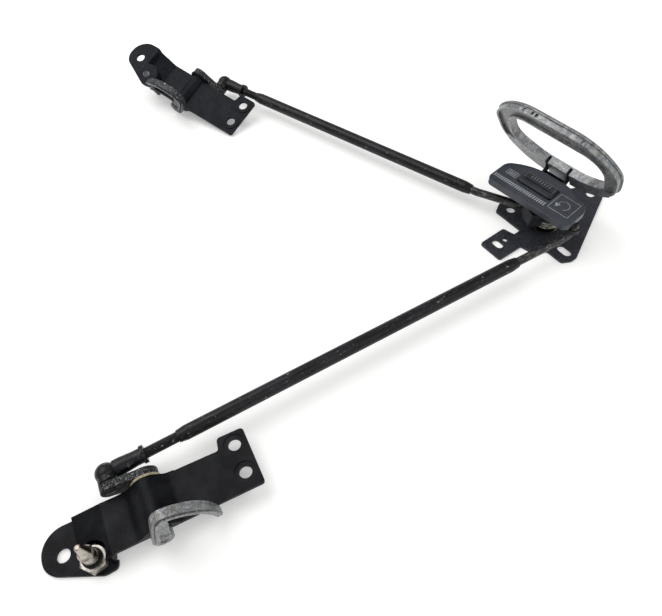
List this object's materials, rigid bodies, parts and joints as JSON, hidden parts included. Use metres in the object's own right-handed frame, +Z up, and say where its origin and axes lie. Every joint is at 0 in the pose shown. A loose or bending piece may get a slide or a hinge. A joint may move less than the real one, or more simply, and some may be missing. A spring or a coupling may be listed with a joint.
{
  "type": "convertible top latch handle",
  "caption": "Hub with a folding ring handle and a push button that turns two rods, each working a hook on a side bracket with a guide pin.",
  "frame": {"origin": "on the hub's axis at the underside of the base plate", "axes": "+Z up along the hub's axis, +Y along the plate to its apex, +X across the plate"},
  "size_m": [0.5341, 0.6037, 0.1207],
  "materials": {
    "satin_black": "satin black paint, dusty",
    "cover_grey": "dark grey paint with pale print",
    "cast_grey": "rough grey casting, stained",
    "galvanised": "speckled zinc",
    "steel": "worn machined steel",
    "spring_steel": "bright wire",
    "ivory_plastic": "aged ivory bush",
    "rod_black": "worn black paint with rust specks",
    "black_plastic": "black moulding"
  },
  "bodies": {
    "base": {"base_plate": "satin_black", "hub_spindle": "steel", "thrust_washer": "steel", "hub_spring": "spring_steel", "hub_circlip": "steel"},
    "hub": {"hub_crank": "satin_black", "cover_carrier": "satin_black", "carrier_rivets": "steel", "cover_plate": "cover_grey", "cover_screws": "steel", "handle_hinge_bracket": "satin_black", "handle_hinge_pin": "steel"},
    "button": {"press_button": "black_plastic"},
    "handle": {"ring_handle": "cast_grey"},
    "near_rod": {"near_inner_rod": "rod_black", "near_rod_tube": "rod_black", "near_threaded_rod": "rod_black", "near_rod_end": "rod_black", "near_rod_clip": "steel"},
    "near_crank": {"near_crank_lever": "galvanised", "near_ball_stud": "steel", "near_latch_shaft": "steel", "near_hook": "galvanised"},
    "near_latch": {"near_latch_bracket": "satin_black", "near_shaft_housing": "satin_black", "near_shaft_bush": "ivory_plastic", "near_guide_pin": "steel", "near_pin_nut": "galvanised", "near_pin_collar": "black_plastic"},
    "far_rod": {"far_inner_rod": "rod_black", "far_rod_tube": "rod_black", "far_threaded_rod": "rod_black", "far_rod_end": "rod_black", "far_rod_clip": "steel"},
    "far_crank": {"far_crank_lever": "galvanised", "far_ball_stud": "steel", "far_latch_shaft": "steel", "far_hook": "galvanised"},
    "far_latch": {"far_latch_bracket": "satin_black", "far_shaft_housing": "satin_black", "far_shaft_bush": "ivory_plastic", "far_guide_pin": "steel", "far_pin_nut": "galvanised", "far_pin_collar": "black_plastic"}
  },
  "joints": [
    {"name": "hub_turn", "type": "hinge", "parent": "base", "child": "hub", "pos_m": [0, 0, 0.02], "axis": [0, 0, 1], "range_deg": [-15, 120]},
    {"name": "button_press", "type": "slide", "parent": "hub", "child": "button", "axis": [0, 0, -1], "range_m": [0, 0.0022], "stiffness_N_per_m": 900},
    {"name": "handle_fold", "type": "hinge", "parent": "hub", "child": "handle", "pos_m": [-0.02223, 0.03312, 0.0388], "axis": [0.9968, 0.0802, 0], "range_deg": [-20, 61]},
    {"name": "near_rod_swing", "type": "hinge", "parent": "hub", "child": "near_rod", "pos_m": [0.03167, -0.00731, 0.0285], "axis": [0, 0, 1], "range_deg": [-40, 60]},
    {"name": "near_ball_turn", "type": "hinge", "parent": "near_rod", "child": "near_crank", "pos_m": [-0.01898, -0.45814, 0.02205], "axis": [-0.9829, 0.184, 0], "range_deg": [-30, 30]},
    {"name": "near_latch_turn", "type": "hinge", "parent": "near_crank", "child": "near_latch", "pos_m": [0.02136, -0.44101, 0.016], "axis": [-0.9829, 0.184, 0], "range_deg": [-138, 0]},
    {"name": "far_rod_swing", "type": "hinge", "parent": "hub", "child": "far_rod", "pos_m": [-0.02061, -0.00401, 0.0285], "axis": [0, 0, 1], "range_deg": [-40, 2]},
    {"name": "far_ball_turn", "type": "hinge", "parent": "far_rod", "child": "far_crank", "pos_m": [-0.38933, -0.1376, 0.01742], "axis": [-0.2524, 0.9123, 0.3224], "range_deg": [-30, 30]},
    {"name": "far_latch_turn", "type": "hinge", "parent": "far_crank", "child": "far_latch", "pos_m": [-0.39816, -0.18089, 0.01979], "axis": [-0.2524, 0.9123, 0.3224], "range_deg": [-138, 0]}
  ]
}
